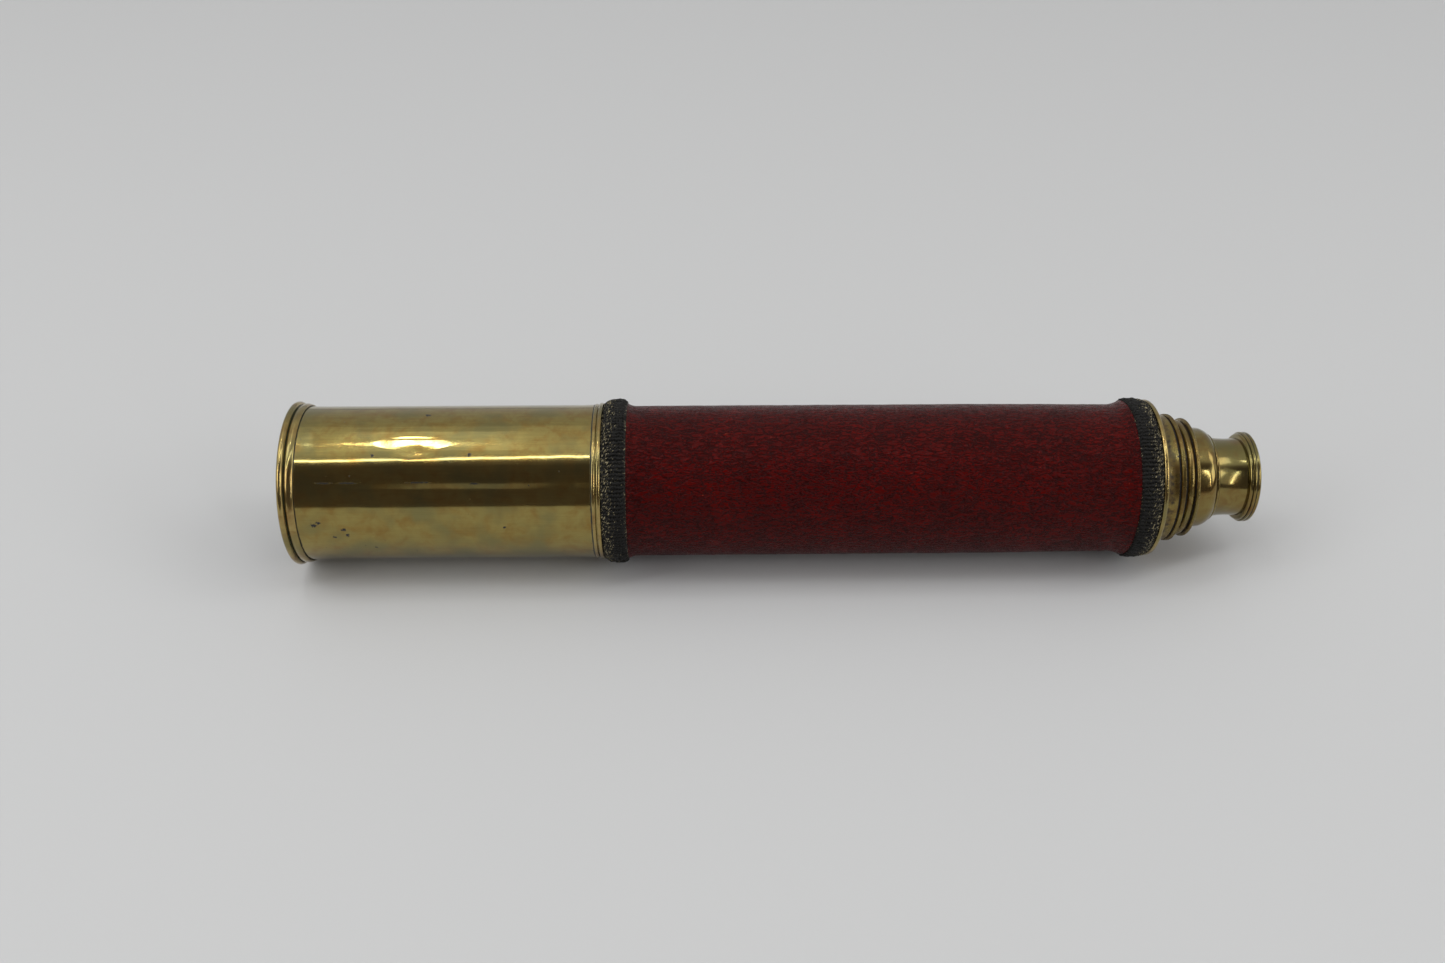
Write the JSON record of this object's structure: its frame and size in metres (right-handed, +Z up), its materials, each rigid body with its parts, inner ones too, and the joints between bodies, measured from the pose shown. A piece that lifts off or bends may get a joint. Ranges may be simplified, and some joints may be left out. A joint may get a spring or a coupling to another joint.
{
  "type": "hand telescope",
  "caption": "Hand telescope lying closed: nested brass draw tubes, leather-covered barrel with cord collars, sliding ray shade and a turned eye cup.",
  "frame": {"origin": "middle of the closed telescope's length, on the surface that it lies on", "axes": "+X along the axis towards the eye cup, +Z up, +Y across"},
  "size_m": [0.3618, 0.0628, 0.0627],
  "materials": {
    "shade_brass": "old polish, stained and worn",
    "barrel_brass": "old polish",
    "spring_brass": "plain, rubbed by the draws",
    "leather": "grained, satin",
    "cord": "waxed cord, worn",
    "blackened_brass": "matt black",
    "glass": "polished",
    "draw_brass": "polished along its length",
    "collar_brass": "turned, old polish"
  },
  "bodies": {
    "barrel": {"barrel_tube": "barrel_brass", "leather_cover": "leather", "front_ferrule": "barrel_brass", "front_cord_collar": "cord", "rear_ferrule": "barrel_brass", "rear_cord_collar": "cord", "barrel_end_cap": "barrel_brass", "barrel_sleeve": "spring_brass", "objective_cell": "blackened_brass", "objective_ring": "blackened_brass", "objective_crown": "glass", "objective_flint": "glass"},
    "shade": {"shade_front_rim": "shade_brass", "shade_tube": "shade_brass", "shade_rear_bead": "shade_brass"},
    "draw_1": {"draw_1_tube": "draw_brass", "draw_1_collar": "collar_brass", "draw_1_stop_ring": "draw_brass", "draw_1_sleeve": "spring_brass"},
    "draw_2": {"draw_2_tube": "draw_brass", "draw_2_collar": "collar_brass", "draw_2_stop_ring": "draw_brass", "draw_2_sleeve": "spring_brass"},
    "draw_3": {"draw_3_tube": "draw_brass", "draw_3_stop_ring": "draw_brass", "eyepiece_collar": "collar_brass", "eyepiece_neck": "collar_brass", "eye_cup": "collar_brass", "eyepiece_tube": "blackened_brass", "field_lens": "glass", "field_lens_rings": "blackened_brass", "field_stop": "blackened_brass", "eye_lens_cell": "blackened_brass", "eye_lens": "glass", "eye_lens_ring": "blackened_brass", "erector_tube": "blackened_brass", "erector_front_lens": "glass", "erector_rear_lens": "glass", "erector_lens_rings": "blackened_brass", "erector_stop": "blackened_brass"}
  },
  "joints": [
    {"name": "shade_slide", "type": "slide", "parent": "barrel", "child": "shade", "axis": [-1, 0, 0], "range_m": [0, 0.0833]},
    {"name": "draw_1_slide", "type": "slide", "parent": "barrel", "child": "draw_1", "axis": [1, 0, 0], "range_m": [0, 0.2462]},
    {"name": "draw_2_slide", "type": "slide", "parent": "draw_1", "child": "draw_2", "axis": [1, 0, 0], "range_m": [0, 0.2512]},
    {"name": "draw_3_slide", "type": "slide", "parent": "draw_2", "child": "draw_3", "axis": [1, 0, 0], "range_m": [0, 0.2538]}
  ]
}
